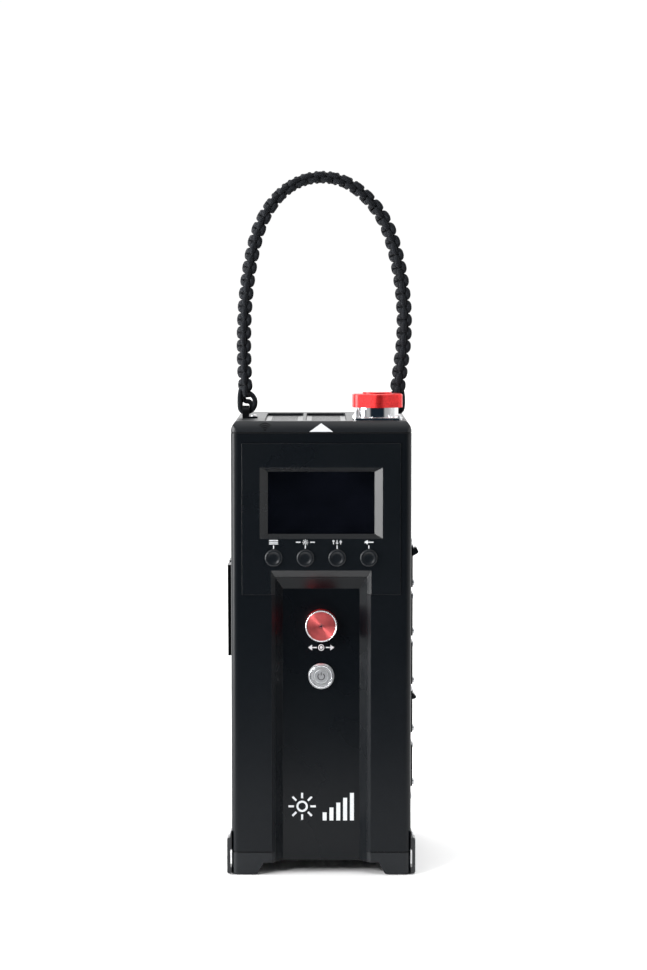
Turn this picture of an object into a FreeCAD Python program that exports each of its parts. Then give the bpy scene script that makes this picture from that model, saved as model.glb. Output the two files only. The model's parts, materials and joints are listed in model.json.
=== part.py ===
import FreeCAD, Part
import os
from math import atan2, cos, pi, radians, sin, sqrt, tan

# Control box of a high-output studio LED light, in millimetres.
# +Z up, the display faces -Y, and the origin is on the floor under the middle of the box.

# Driving dimensions of the case
WIDTH = 131.0
DEPTH = 157.0
TOP_Z = 332.0  # flat top of the top cap
EDGE_R = 5.0  # upright edges
FRONT_WALL = 3.0
WALL = 2.5
BASE_SEAM = 16.8  # middle of the seal between bottom cap and body
CAP_SEAM = 323.6  # middle of the seal between body and top cap
SEAL = 0.8
SHOULDER_R = 10.0  # round shoulder of the top cap

# Front panel and display
PANEL_X = 57.5
PANEL_Z = (206.1, 316.0)
PANEL_PROUD = 0.4
DISPLAY_Z = (246.9, 298.4)
DISPLAY_X = 44.6
DISPLAY_DEEP = 4.0
GLASS_X = 38.7
GLASS_Z = (250.1, 295.3)
KEY_Z = 232.9
KEY_PITCH = 23.0
KEY_R = 5.5
KEY_TRAVEL = 1.0

# Channel in the front with the knob and the power switch
CHANNEL_X = 36.0  # half width at the face
FLOOR_X = 28.0  # half width at the floor
CHANNEL_DEEP = 9.0
CHANNEL_TOP = 223.1
FLOOR_TOP = 209.6
KNOB_Z = 183.3
KNOB_R = 12.0
SHAFT_R = 3.0
SWITCH_Z = 145.3

# Base
ARCH_Z = 9.1  # height of the arch under the box
ARCH_TOP_X = 41.8
ARCH_FOOT_X = 47.2

# Top: head connector and carry handle
SOCKET_X = 40.9
SOCKET_Y = -50.0
BARREL_R = 15.5
CAP_Z = 341.2  # underside of the dust cap
CAP_R = 20.9  # across its corners, before rounding
HANDLE_X = 56.0
HANDLE_Y = -22.0
PIVOT_Z = 336.3
ANCHOR_THICK = 4.9
STRAND_R = 2.1
LOOP_R = 5.4
BAND_WIDE = 16.0  # the woven band, from front to rear
BAND_THICK = 9.5
# The woven handle's route in its own upright plane, as (x, z), from the left end to the right end
HANDLE_ROUTE = [
    (-56.0, 349.0),
    (-57.0, 363.5),
    (-57.6, 392.5),
    (-56.2, 421.5),
    (-52.2, 450.0),
    (-45.0, 477.5),
    (-30.5, 498.5),
    (-11.2, 509.6),
    (11.8, 509.8),
    (31.5, 498.5),
    (48.2, 477.5),
    (56.5, 449.5),
    (61.2, 421.0),
    (61.8, 392.0),
    (58.0, 363.5),
    (56.0, 349.0),
]

# Louvred pockets in the top
VENT_XS = ((-41.3, -13.6), (-11.2, 18.4))
VENT_Y = (-68.5, 53.5)

# Right side: sockets in one upright row
IO_Y = -40.0
IO_SOCKETS = (224.0, 188.0, 152.0, 116.0)  # heights of the four round sockets
IO_INLET = 76.0  # height of the mains inlet
FLANGE = 1.8
PANEL_SCREW_Z = (243.0, 134.0, 54.0)
# Latch tabs of the highest and the lowest round socket: outline as (x, z), and the slot's height
UPPER_TAB = [
    (60, 231.2),
    (66.8, 230.4),
    (71, 232.8),
    (71.8, 233.9),
    (70.4, 237.2),
    (69.3, 237.2),
    (66.5, 235.6),
    (60, 235.2),
]
UPPER_SLOT = (229.4, 238.2)
LOWER_TAB = [(60, 124.6), (66.8, 123.9), (70.2, 125.0), (70.4, 126.2), (68.0, 129.0), (60, 128.8)]
LOWER_SLOT = (122.9, 130.0)

# Left side: wedge plate for a clamp
WEDGE_Z = (153.4, 222.4)
WEDGE_THICK = 4.2

# Strap bridges low on both sides, near the front and the rear
BRIDGE_INSET = 1.0  # from the face
BRIDGE_WIDE = 12.0
BRIDGE_SCREW_Z = 29.4

# Fans behind the rear cover
FAN_Z = (95.0, 245.0)
FAN_SIZE = 80.0

# Inside
BOARD_Y = -66.6  # front of the key board and of the control board
CHASSIS_Y = 6.0
STAND_OFF = 6.0

V = FreeCAD.Vector
X, Y, Z = V(1, 0, 0), V(0, 1, 0), V(0, 0, 1)
SIDE_X = WIDTH / 2
FRONT_Y = -DEPTH / 2
REAR_Y = DEPTH / 2
FLOOR_Y = FRONT_Y + CHANNEL_DEEP
BODY_Z = (BASE_SEAM + SEAL / 2, CAP_SEAM - SEAL / 2)
INSIDE_X = SIDE_X - WALL
INSIDE_Y = (FRONT_Y + FRONT_WALL, REAR_Y - WALL)
KEY_XS = [KEY_PITCH * (i - 1.5) for i in range(4)]
KNOB_FRONT = FRONT_Y - 3.0
KNOB_BACK = FLOOR_Y - 1.1
BRIDGE_YS = (
    (FRONT_Y + BRIDGE_INSET, FRONT_Y + BRIDGE_INSET + BRIDGE_WIDE),
    (REAR_Y - BRIDGE_INSET - BRIDGE_WIDE, REAR_Y - BRIDGE_INSET),
)
POWER_Y = CHASSIS_Y - STAND_OFF - 4.0
DRIVER_Y = CHASSIS_Y + 2 + STAND_OFF

os.makedirs("parts", exist_ok=True)


def save(name, *solids):
    """Writes one sub-part; several solids that don't touch are kept as a group."""
    shape = solids[0] if len(solids) == 1 else Part.makeCompound(list(solids))
    if not shape.isValid() or shape.Volume <= 0:
        raise ValueError(name + " isn't a valid solid")
    shape.exportStep("parts/" + name + ".step")


def block(x, y, z):
    return Part.makeBox(x[1] - x[0], y[1] - y[0], z[1] - z[0], V(x[0], y[0], z[0]))


def about(middle, half):
    return (middle - half, middle + half)


def straight_edges(shape, axis):
    """The edges of a block that run along an axis."""
    found = []
    for edge in shape.Edges:
        along = edge.Vertexes[-1].Point.sub(edge.Vertexes[0].Point)
        if along.Length > 0 and abs(along.dot(axis)) > 0.999 * along.Length:
            found.append(edge)
    return found


def rounded(x, y, z, radius, axis=Z):
    """A block whose edges along one axis are rounded."""
    solid = block(x, y, z)
    return solid.makeFillet(radius, straight_edges(solid, axis))


def rod(radius, start, length, axis=Y):
    return Part.makeCylinder(radius, length, start, axis)


def join(*solids):
    return solids[0].multiFuse(list(solids[1:])).removeSplitter()


def mirror_x(shape):
    return shape.mirror(V(0, 0, 0), X)


def prism(points, axis, length):
    """A solid pushed out along an axis from a flat outline."""
    return Part.Face(Part.makePolygon(points + points[:1])).extrude(axis * length)


def frame_at_y(half_x, z, y):
    """An upright rectangle facing the front."""
    corners = [V(-half_x, y, z[0]), V(half_x, y, z[0]), V(half_x, y, z[1]), V(-half_x, y, z[1])]
    return Part.makePolygon(corners + corners[:1])


def trough():
    """The space of the channel: slanted sides and top, open at the bottom and to the front."""
    out = 1.0  # runs this far in front of the face
    side = (CHANNEL_X - FLOOR_X) / CHANNEL_DEEP
    rise = (CHANNEL_TOP - FLOOR_TOP) / CHANNEL_DEEP
    face = frame_at_y(CHANNEL_X + side * out, (5.0, CHANNEL_TOP + rise * out), FRONT_Y - out)
    floor = frame_at_y(FLOOR_X, (5.0, FLOOR_TOP), FLOOR_Y)
    return Part.makeLoft([face, floor], True, True)


TROUGH = trough()
TRIM_BACK = 2.0
TRIM_X = 38.0
TRIM_TOP = 221.5


def screws(points, axis, head_r, head, shank_r, shank):
    """Button-head screws; each point is under the head, and axis points out of the head."""
    made = []
    for p in points:
        top = rod(head_r, p, head, axis)
        rims = [e for e in top.Edges if abs(e.CenterOfMass.sub(p).dot(axis) - head) < 0.01]
        top = top.makeFillet(0.45 * head, rims[:1])
        socket = rod(head_r * 0.4, p + axis * (head * 0.5), head, axis)
        made.append(join(top, rod(shank_r, p - axis * shank, shank, axis)).cut(socket))
    return made


# ---------------------------------------------------------------- case


def case_tube(inset, z):
    return rounded(
        about(0, SIDE_X - inset), (FRONT_Y + inset, REAR_Y - inset), z, EDGE_R - inset
    )


def inner_tube(gap, z, radius=2.4):
    return rounded(
        about(0, INSIDE_X - gap), (INSIDE_Y[0] + gap, INSIDE_Y[1] - gap), z, radius
    )


def lip(z):
    """The ring of a cap that stands inside the body."""
    band = inner_tube(0.1, z).cut(inner_tube(2.0, z, 1.0))
    return band.cut(block(about(0, TRIM_X + 2.5), (FRONT_Y, FRONT_Y + 14), z))


def body_shell():
    shell = case_tube(0, BODY_Z).cut(inner_tube(0, BODY_Z))
    window = block(about(0, PANEL_X + 0.1), (FRONT_Y - 1, INSIDE_Y[0] + 0.5),
                   (PANEL_Z[0] - 0.1, PANEL_Z[1] + 0.1))
    side = rounded((SIDE_X - 5, SIDE_X + 1), about(IO_Y, 17.1), (47.9, 250.1), 3.1, X)
    fans = [rod(38.0, V(0, REAR_Y - 5, z), 10) for z in FAN_Z]
    holes = [rod(1.65, p - X * 4, 8, X) for p in wedge_points()]
    holes += [rod(1.5, p - Y * 8, 8) for p in rear_screw_points()]
    bridge_holes = [rod(0.9, p - X * 5, 6, X) for p in bridge_points()]
    holes += bridge_holes + [mirror_x(hole) for hole in bridge_holes]
    return shell.cut([TROUGH, window, side] + fans + holes)


def top_cap():
    """Flat top with round shoulders on four sides: two crossed shoulder profiles in one rounded tube."""
    low = CAP_SEAM + SEAL / 2
    rise = TOP_Z - low
    inset = SHOULDER_R - sqrt(SHOULDER_R**2 - rise**2)
    half = atan2(rise, SHOULDER_R - inset) / 2

    def profile(half_width, place, axis, length):
        mid_in = SHOULDER_R * (1 - cos(half))
        mid_up = SHOULDER_R * sin(half)
        points = [
            place(half_width, low),
            place(half_width - mid_in, low + mid_up),
            place(half_width - inset, TOP_Z),
            place(-half_width + inset, TOP_Z),
            place(-half_width + mid_in, low + mid_up),
            place(-half_width, low),
        ]
        wire = Part.Wire([
            Part.Arc(points[0], points[1], points[2]).toShape(),
            Part.LineSegment(points[2], points[3]).toShape(),
            Part.Arc(points[3], points[4], points[5]).toShape(),
            Part.LineSegment(points[5], points[0]).toShape(),
        ])
        return Part.Face(wire).extrude(axis * length)

    across = profile(SIDE_X, lambda u, z: V(u, FRONT_Y, z), Y, DEPTH)
    along = profile(REAR_Y, lambda u, z: V(-SIDE_X, u, z), X, WIDTH)
    cap = across.common(along).common(case_tube(0, (low, TOP_Z)))
    hollow = inner_tube(2.5, (low, TOP_Z - 4.0), 1.0)
    cap = join(cap.cut(hollow), lip((low - 3.5, low)))
    pockets = [rounded(x, VENT_Y, (TOP_Z - 3.0, TOP_Z + 1), 1.5) for x in VENT_XS]
    throats = [
        block((x[0] + 2, x[1] - 2), (VENT_Y[0] + 2, VENT_Y[1] - 2), (low, TOP_Z)) for x in VENT_XS
    ]
    hole = rod(13.7, V(SOCKET_X, SOCKET_Y, low), 20, Z)
    screw_holes = [rod(1.3, p - Z * 5, 8, Z) for p in anchor_points() + flange_points()]
    return cap.cut(pockets + throats + [hole] + screw_holes)


def top_vents():
    """Louvre inlays in the two pockets of the top."""
    made = []
    for x in VENT_XS:
        inlay = rounded((x[0] + 0.1, x[1] - 0.1), (VENT_Y[0] + 0.1, VENT_Y[1] - 0.1),
                        (TOP_Z - 3.0, TOP_Z - 2.0), 1.4)
        first = VENT_Y[0] + 6
        slots = [
            block((x[0] + 4, x[1] - 4), (first + 5 * i, first + 5 * i + 2.2), (TOP_Z - 4, TOP_Z))
            for i in range(23)
        ]
        made.append(inlay.cut(slots))
    return made


def bottom_cap():
    """Floor of the case on two skids, with an arch from front to rear between them."""
    top = BASE_SEAM - SEAL / 2
    solid = case_tube(0, (0.8, top))
    arch = [
        V(-ARCH_FOOT_X, FRONT_Y - 1, 0),
        V(ARCH_FOOT_X, FRONT_Y - 1, 0),
        V(ARCH_TOP_X, FRONT_Y - 1, ARCH_Z),
        V(-ARCH_TOP_X, FRONT_Y - 1, ARCH_Z),
    ]
    hollow = inner_tube(2.0, (ARCH_Z + 3, top), 1.0)
    trim_seat = block(about(0, TRIM_X + 0.1), (INSIDE_Y[0], FLOOR_Y + TRIM_BACK + 0.1), (0, top))
    cap = solid.cut([prism(arch, Y, DEPTH + 2), hollow, TROUGH, trim_seat])
    bolts = [rod(1.7, p, 20, Z) for p in base_points()]
    counterbores = [rod(3.4, V(p.x, p.y, 0), 4.2, Z) for p in base_points()]
    return join(cap, lip((top, top + 3.5))).cut(feet(0.1) + bolts + counterbores)


def base_points():
    return [V(x, y, 4.2) for x in (-57, 57) for y in (-38, 38)]


def feet(gap=0.0):
    """Four rubber pads let into the skids."""
    made = []
    for x in (-57, 57):
        for y in (-58, 58):
            pad = rounded(about(x, 6 + gap), about(y, 14 + gap), (0, 2.0 + gap), 3)
            made.append(pad)
    return made


def seal(middle):
    z = about(middle, SEAL / 2)
    band = case_tube(0.5, z).cut(inner_tube(0.0, z))
    return band.cut(TROUGH)


# ---------------------------------------------------------------- display panel and keys


def display_panel():
    """Front panel: plate in the window, flange behind the wall, slanted display recess, key holes."""
    face = FRONT_Y - PANEL_PROUD
    plate = rounded(about(0, PANEL_X), (face, INSIDE_Y[0]), PANEL_Z, 1.0, Y)
    flange = block(about(0, PANEL_X + 2), (INSIDE_Y[0], INSIDE_Y[0] + 1.5),
                   (PANEL_Z[0] - 2, PANEL_Z[1] + 2))
    flange = flange.cut(block(about(0, PANEL_X - 2), (INSIDE_Y[0], INSIDE_Y[0] + 1.5),
                              (PANEL_Z[0] + 3, PANEL_Z[1] - 3)))
    boss = block(about(0, DISPLAY_X + 3), (INSIDE_Y[0], INSIDE_Y[0] + 2.6),
                 (DISPLAY_Z[0] - 2, DISPLAY_Z[1] + 3))
    recess = Part.makeLoft([
        frame_at_y(DISPLAY_X, DISPLAY_Z, face),
        frame_at_y(GLASS_X, GLASS_Z, face + DISPLAY_DEEP),
    ], True, True)
    seat = block(about(0, GLASS_X), (face + DISPLAY_DEEP, face + DISPLAY_DEEP + 1.2), GLASS_Z)
    sight = block(about(0, GLASS_X - 2), (face, INSIDE_Y[0] + 3), (GLASS_Z[0] + 2, GLASS_Z[1] - 2))
    keys = [rod(KEY_R + 0.2, V(x, face - 1, KEY_Z), 6) for x in KEY_XS]
    trim = block(about(0, TRIM_X + 0.1), (INSIDE_Y[0], FLOOR_Y), (PANEL_Z[0] - 5, TRIM_TOP + 0.1))
    return join(plate, flange, boss).cut([recess, seat, sight, TROUGH, trim] + keys)


def display_window():
    back = FRONT_Y - PANEL_PROUD + DISPLAY_DEEP
    return block(about(0, GLASS_X - 0.1), (back, back + 1.2), (GLASS_Z[0] + 0.1, GLASS_Z[1] - 0.1))


def display_module():
    front = INSIDE_Y[0] + 2.6
    case = block(about(0, 42), (front, front + 3.5), (246.5, 298.9))
    tail = block((20, 34), (front + 3.5, front + 4.1), (250, 262))
    return join(case, tail)


def key(x):
    """Round key cap with a flange behind the panel and a stem towards its switch."""
    front = FRONT_Y - PANEL_PROUD - 1.2
    back = INSIDE_Y[0] + 0.2
    cap = rod(KEY_R, V(x, front, KEY_Z), back - front)
    rims = [e for e in cap.Edges if abs(e.CenterOfMass.y - front) < 0.01]
    cap = cap.makeFillet(0.6, rims[:1])
    flange = rod(KEY_R + 0.9, V(x, back, KEY_Z), 1.2)
    stem = rod(2.0, V(x, back + 1.2, KEY_Z), 3.1)
    return join(cap, flange, stem)


def key_board():
    return rounded(about(0, 48), (BOARD_Y, BOARD_Y + 1.6), (224.5, 241), 2, Y)


def key_switches():
    made = []
    for x in KEY_XS:
        base = block(about(x, 3), (BOARD_Y - 2.4, BOARD_Y), about(KEY_Z, 3))
        made.append(join(base, rod(1.7, V(x, BOARD_Y - 3.2, KEY_Z), 0.8)))
    return made


def control_board():
    board = rounded(about(0, 56), (BOARD_Y, BOARD_Y + 1.6), (244, 314), 2, Y)
    chips = [
        block(about(-20, 9), (BOARD_Y + 1.6, BOARD_Y + 3.2), about(275, 9)),
        block(about(18, 5), (BOARD_Y + 1.6, BOARD_Y + 3.0), about(290, 7)),
        block(about(38, 7), (BOARD_Y + 1.6, BOARD_Y + 7.0), about(256, 4)),
        block(about(-42, 4), (BOARD_Y + 1.6, BOARD_Y + 6.0), about(300, 6)),
    ]
    return join(board, *chips)


# ---------------------------------------------------------------- channel, knob and power switch


def channel_trim():
    back = FLOOR_Y + TRIM_BACK
    solid = block(about(0, TRIM_X), (INSIDE_Y[0], back), (ARCH_Z, TRIM_TOP))
    knob_hole = rod(3.6, V(0, INSIDE_Y[0], KNOB_Z), 12)
    switch_hole = rod(8.0, V(0, INSIDE_Y[0], SWITCH_Z), 12)
    return solid.cut([TROUGH, knob_hole, switch_hole])


def encoder_body():
    """Encoder behind the floor; its bush holds the shaft and comes through the floor."""
    back = FLOOR_Y + TRIM_BACK
    case = block(about(0, 7), (back, back + 6.5), about(KNOB_Z, 7))
    bush = rod(3.5, V(0, FLOOR_Y - 1.5, KNOB_Z), TRIM_BACK + 1.5)
    pins = [rod(0.5, V(x, back + 6.5, KNOB_Z - 5), 3) for x in (-2.5, 0, 2.5)]
    bore = rod(SHAFT_R + 0.05, V(0, FLOOR_Y - 2, KNOB_Z), TRIM_BACK + 7.5)
    return join(case, bush, *pins).cut(bore)


def encoder_shaft():
    return rod(SHAFT_R, V(0, KNOB_FRONT + 3, KNOB_Z), FLOOR_Y + TRIM_BACK + 4 - KNOB_FRONT - 3)


def select_knob():
    """Knurled metal rim with a recess for the red face and a bore for the shaft."""
    rim = rod(KNOB_R, V(0, KNOB_FRONT, KNOB_Z), KNOB_BACK - KNOB_FRONT)
    fronts = [e for e in rim.Edges if abs(e.CenterOfMass.y - KNOB_FRONT) < 0.01]
    rim = rim.makeChamfer(0.9, fronts[:1])
    face = rod(10.75, V(0, KNOB_FRONT, KNOB_Z), 1.2)
    bore = rod(SHAFT_R + 0.05, V(0, KNOB_FRONT + 2.7, KNOB_Z), 20)
    hollow = rod(4.2, V(0, KNOB_BACK - 1.6, KNOB_Z), 5)
    flutes = []
    for i in range(36):
        turn = 2 * pi * i / 36
        at = V(KNOB_R * 1.025 * cos(turn), KNOB_FRONT + 1.6, KNOB_Z + KNOB_R * 1.025 * sin(turn))
        flutes.append(rod(0.55, at, KNOB_BACK - KNOB_FRONT - 2.4))
    return rim.cut([face, bore, hollow] + flutes)


def knob_face():
    disc = rod(10.65, V(0, KNOB_FRONT + 0.2, KNOB_Z), 1.0)
    fronts = [e for e in disc.Edges if abs(e.CenterOfMass.y - KNOB_FRONT - 0.2) < 0.01]
    return disc.makeFillet(0.3, fronts[:1])


def power_switch():
    """Metal bezel on the floor, barrel through it, and a bore for the button."""
    bezel = rod(9.5, V(0, FLOOR_Y - 1.8, SWITCH_Z), 1.8)
    fronts = [e for e in bezel.Edges if abs(e.CenterOfMass.y - FLOOR_Y + 1.8) < 0.01]
    bezel = bezel.makeChamfer(0.8, fronts[:1])
    barrel = rod(7.9, V(0, FLOOR_Y, SWITCH_Z), 19.5)
    bore = rod(5.3, V(0, FLOOR_Y - 3, SWITCH_Z), 19)
    tags = [block(about(x, 1.2), (FLOOR_Y + 19.5, FLOOR_Y + 25), about(SWITCH_Z, 0.4))
            for x in (-4, 4)]
    return join(bezel, barrel, *tags).cut(bore)


def power_nut():
    back = FLOOR_Y + TRIM_BACK
    corners = [V(11.5 * cos(radians(60 * i)), back, SWITCH_Z + 11.5 * sin(radians(60 * i)))
               for i in range(6)]
    return prism(corners, Y, 2.6).cut(rod(7.95, V(0, back - 1, SWITCH_Z), 5))


def power_button():
    front = FLOOR_Y - 2.4
    button = rod(5.2, V(0, front, SWITCH_Z), 14)
    fronts = [e for e in button.Edges if abs(e.CenterOfMass.y - front) < 0.01]
    return button.makeFillet(0.5, fronts[:1])


# ---------------------------------------------------------------- head connector


def flange_points():
    return [V(SOCKET_X + x, SOCKET_Y + y, TOP_Z + 2.0) for x in (-15, 15) for y in (-15, 15)]


def head_socket():
    """Square flange, threaded barrel outside, body through the top."""
    base = V(SOCKET_X, SOCKET_Y, TOP_Z)
    flange = rounded(about(SOCKET_X, 18), about(SOCKET_Y, 18), (TOP_Z, TOP_Z + 2), 3)
    barrel = rod(BARREL_R, base, 15.5, Z)
    inner = rod(13.5, base - Z * 27, 27, Z)
    bore = rod(12.8, base + Z * 3, 13, Z)
    holes = [rod(1.3, p - Z * 3, 6, Z) for p in flange_points()]
    return join(flange, barrel, inner).cut([bore] + holes)


def socket_insert():
    base = V(SOCKET_X, SOCKET_Y, TOP_Z + 3)
    insert = rod(12.7, base, 6.0, Z)
    key_way = block(about(SOCKET_X, 1.5), (SOCKET_Y - 13, SOCKET_Y - 10), (TOP_Z, TOP_Z + 20))
    return insert.cut(key_way)


def socket_contacts():
    made = []
    for radius, count in ((8.4, 8), (3.6, 4)):
        for i in range(count):
            turn = 2 * pi * (i + 0.5) / count
            at = V(SOCKET_X + radius * cos(turn), SOCKET_Y + radius * sin(turn), TOP_Z + 9.0)
            made.append(rod(1.2, at, 2.4, Z))
    return made


def dust_cap_plug():
    """Inner disc that doesn't turn; its stud carries the outer cap."""
    base = V(SOCKET_X, SOCKET_Y, TOP_Z + 12.4)
    return join(rod(12.3, base, 4.2, Z), rod(2.0, base + Z * 4.2, 1.5, Z))


def dust_cap():
    """Six-sided grip with rounded corners, closed at the top, with a raised disc."""
    turn = radians(-87)
    corners = [
        V(SOCKET_X + CAP_R * cos(turn + i * pi / 3), SOCKET_Y + CAP_R * sin(turn + i * pi / 3), CAP_Z)
        for i in range(6)
    ]
    grip = prism(corners, Z, 9.8)
    grip = grip.makeFillet(7.0, straight_edges(grip, Z))
    rims = [e for e in grip.Edges if abs(e.CenterOfMass.z - CAP_Z - 9.8) < 0.01]
    grip = grip.makeFillet(0.8, rims)
    disc = rod(10.7, V(SOCKET_X, SOCKET_Y, CAP_Z + 9.8), 1.2, Z)
    bore = rod(BARREL_R + 0.4, V(SOCKET_X, SOCKET_Y, CAP_Z - 1), 8.7, Z)
    stud = rod(2.06, V(SOCKET_X, SOCKET_Y, CAP_Z), 9.3, Z)
    return join(grip, disc).cut([bore, stud])


def tether_post():
    """Small post on the flange's front left screw, for the cap's tether."""
    at = V(SOCKET_X - 15, SOCKET_Y - 15, TOP_Z + 3.5)
    return join(rod(1.7, at, 3.9, Z), rod(0.8, at + Z * 3.9, 1.5, Z))


# ---------------------------------------------------------------- carry handle


def anchor_points():
    return [V(x, HANDLE_Y + y, TOP_Z + 1.2) for x in (-50.4, 50.4) for y in (-6, 6)]


def handle_anchor():
    """Upright eye plate with a foot that is screwed to the top (right side)."""
    x = about(HANDLE_X, ANCHOR_THICK / 2)
    plate = rounded(x, about(HANDLE_Y, 6.8), (TOP_Z - 9, TOP_Z + 9), 4, X)
    plate = plate.cut(block((40, 65), (-60, 20), (TOP_Z - 20, TOP_Z)))
    foot = block((47.2, x[0] + 1), about(HANDLE_Y, 9), (TOP_Z, TOP_Z + 1.2))
    eye = rod(STRAND_R + 1.1, V(x[0] - 1, HANDLE_Y, PIVOT_Z), 8, X)
    holes = [rod(1.3, p - Z * 3, 6, Z) for p in anchor_points()]
    return join(plate, foot).cut([eye] + holes)


def handle_loop(x):
    """One strand of cord, closed through the eye."""
    middle = V(x, HANDLE_Y, PIVOT_Z - 0.3 + LOOP_R)
    return Part.makeTorus(LOOP_R, STRAND_R, middle, Y)


def rounded_path(points):
    """Straight runs joined by tangent arcs, each as large as its two runs allow."""
    edges, radii, start = [], [], points[0]
    for before, at, after in zip(points, points[1:], points[2:]):
        a, b = before.sub(at), after.sub(at)
        bend = pi - a.getAngle(b)
        cut_back = 0.45 * min(a.Length, b.Length)
        radius = cut_back / tan(bend / 2)
        radii.append(radius)
        a.normalize()
        b.normalize()
        p, q = at + a * cut_back, at + b * cut_back
        inward = (a + b).normalize()
        middle = at + inward * (radius / cos(bend / 2) - radius)
        edges.append(Part.LineSegment(start, p).toShape())
        edges.append(Part.Arc(p, middle, q).toShape())
        start = q
    edges.append(Part.LineSegment(start, points[-1]).toShape())
    return Part.Wire(edges), radii


def sweep(section, path):
    """A section pushed along a path, with the volume checked against section times length."""
    tube = path.makePipeShell([section], True, True)
    expected = Part.Face(section).Area * path.Length
    if abs(tube.Volume / expected - 1) > 0.01:
        raise ValueError("the swept tube has the wrong volume")
    return tube


def handle_rope():
    """Woven band: its flat faces look up and down on the arch, and left and right on the legs."""
    points = [V(x, HANDLE_Y, z) for x, z in HANDLE_ROUTE]
    path, radii = rounded_path(points)
    along = points[1].sub(points[0]).normalize()
    across = Y.cross(along)
    front = points[0] - Y * (BAND_WIDE - BAND_THICK) * 0.5
    rear = points[0] + Y * (BAND_WIDE - BAND_THICK) * 0.5
    out = across * (BAND_THICK / 2)
    section = Part.Wire([
        Part.LineSegment(front - out, rear - out).toShape(),
        Part.Arc(rear - out, points[0] + Y * (BAND_WIDE / 2), rear + out).toShape(),
        Part.LineSegment(rear + out, front + out).toShape(),
        Part.Arc(front + out, points[0] - Y * (BAND_WIDE / 2), front - out).toShape(),
    ])
    print("handle length", round(path.Length, 1), "radii", [round(r) for r in radii])
    return sweep(section, path)


# ---------------------------------------------------------------- left side


def wedge_points():
    return [V(-SIDE_X - 1.0, y, z) for y in (-12, 12) for z in (166, 210)]


def wedge_plate():
    """Tapered plate, wider outside than at the case, so that a clamp holds it from below."""

    def outline(x, grow):
        top, foot = 26 + grow, 19 + grow
        corners = [
            V(x, -foot, WEDGE_Z[0]),
            V(x, foot, WEDGE_Z[0]),
            V(x, top, WEDGE_Z[1]),
            V(x, -top, WEDGE_Z[1]),
        ]
        return Part.makePolygon(corners + corners[:1])

    plate = Part.makeLoft([outline(-SIDE_X, -2.0), outline(-SIDE_X - WEDGE_THICK, 1.0)], True, True)
    heads = [rod(3.1, p, 10, V(-1, 0, 0)) for p in wedge_points()]
    shanks = [rod(1.65, p + X * 5, 10, V(-1, 0, 0)) for p in wedge_points()]
    notch = block((-80, -SIDE_X - 2), about(0, 7), (WEDGE_Z[1] - 8, WEDGE_Z[1] + 1))
    return plate.cut(heads + shanks + [notch])


# ---------------------------------------------------------------- right side sockets


def io_screw_points():
    outside = SIDE_X
    points = [V(outside, IO_Y + y, z) for z in PANEL_SCREW_Z for y in (-13.5, 13.5)]
    for z in IO_SOCKETS + (IO_INLET,):
        points += [V(outside + FLANGE, IO_Y + 9.5, z + 12), V(outside + FLANGE, IO_Y - 9.5, z - 12)]
    return points


def io_panel():
    plate = rounded((SIDE_X - 2, SIDE_X), about(IO_Y, 17), (48, 250), 3, X)
    holes = [rod(12.0, V(SIDE_X - 4, IO_Y, z), 6, X) for z in IO_SOCKETS + (IO_INLET,)]
    screw_holes = [rod(1.45, V(SIDE_X - 4, p.y, p.z), 8, X) for p in io_screw_points()]
    return plate.cut(holes + screw_holes + [tab_slot(UPPER_SLOT), tab_slot(LOWER_SLOT)])


def tab_slot(z):
    return block((SIDE_X - 8, SIDE_X + 4), about(IO_Y, 4.9), z)


def round_socket(z, mouth_r, tab_z=None):
    """Flanged round socket; a slot over the mouth takes the latch tab."""
    flange = rounded((SIDE_X, SIDE_X + FLANGE), about(IO_Y, 13), about(z, 15.5), 2.5, X)
    barrel = rod(11.8, V(SIDE_X - 21, IO_Y, z), 21, X)
    mouth = rod(mouth_r, V(SIDE_X + FLANGE - 13.3, IO_Y, z), 20, X)
    holes = [rod(1.45, V(SIDE_X - 4, IO_Y + s * 9.5, z + s * 12), 8, X) for s in (-1, 1)]
    cuts = [mouth] + holes
    if tab_z:
        cuts.append(tab_slot(tab_z))
    return join(flange, barrel).cut(cuts)


def latch_tab(outline):
    """Sprung thumb tab; the outline is seen from the front, as (x, z)."""
    points = [V(x, IO_Y - 4.5, z) for x, z in outline]
    return prism(points, Y, 9)


def contact_pins():
    made = []
    for z in IO_SOCKETS:
        for i in range(5):
            turn = radians(90 + 72 * i + 36)
            at = V(SIDE_X - 11.5, IO_Y + 5.2 * cos(turn), z + 5.2 * sin(turn))
            made.append(rod(1.0, at, 5.0, X))
    for y in (-4, 0, 4):
        made.append(block((SIDE_X - 11.5, SIDE_X - 6.5), about(IO_Y + y, 0.6), about(IO_INLET, 3)))
    return made


# ---------------------------------------------------------------- strap bridges low on the sides


def strap_bridges():
    """Low bands that stand off from the side, open behind for a thin strap."""
    made = []
    for y in BRIDGE_YS:
        band = block((SIDE_X - 1.0, SIDE_X + 3.3), y, (0.9, 27.4))
        band = band.makeFillet(1.5, [e for e in straight_edges(band, Y) if e.CenterOfMass.x > SIDE_X])
        band = band.cut(block((SIDE_X - 2, SIDE_X), (-90, 90), (0, 40)))
        ear = block((SIDE_X, SIDE_X + 0.6), y, (20, 32))
        slot = block((SIDE_X, SIDE_X + 1.3), (-90, 90), (5.5, 18.5))
        hole = rod(0.9, V(SIDE_X - 3, (y[0] + y[1]) / 2, BRIDGE_SCREW_Z), 8, X)
        bridge = join(band, ear).cut([slot, hole])
        made += [bridge, mirror_x(bridge)]
    return made


def bridge_points():
    return [V(SIDE_X + 0.6, (y[0] + y[1]) / 2, BRIDGE_SCREW_Z) for y in BRIDGE_YS]


def bridge_screws():
    right = screws(bridge_points(), X, 1.7, 1.3, 0.85, 2.4)
    return right + [mirror_x(s) for s in right]


# ---------------------------------------------------------------- rear cover and fans


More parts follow.
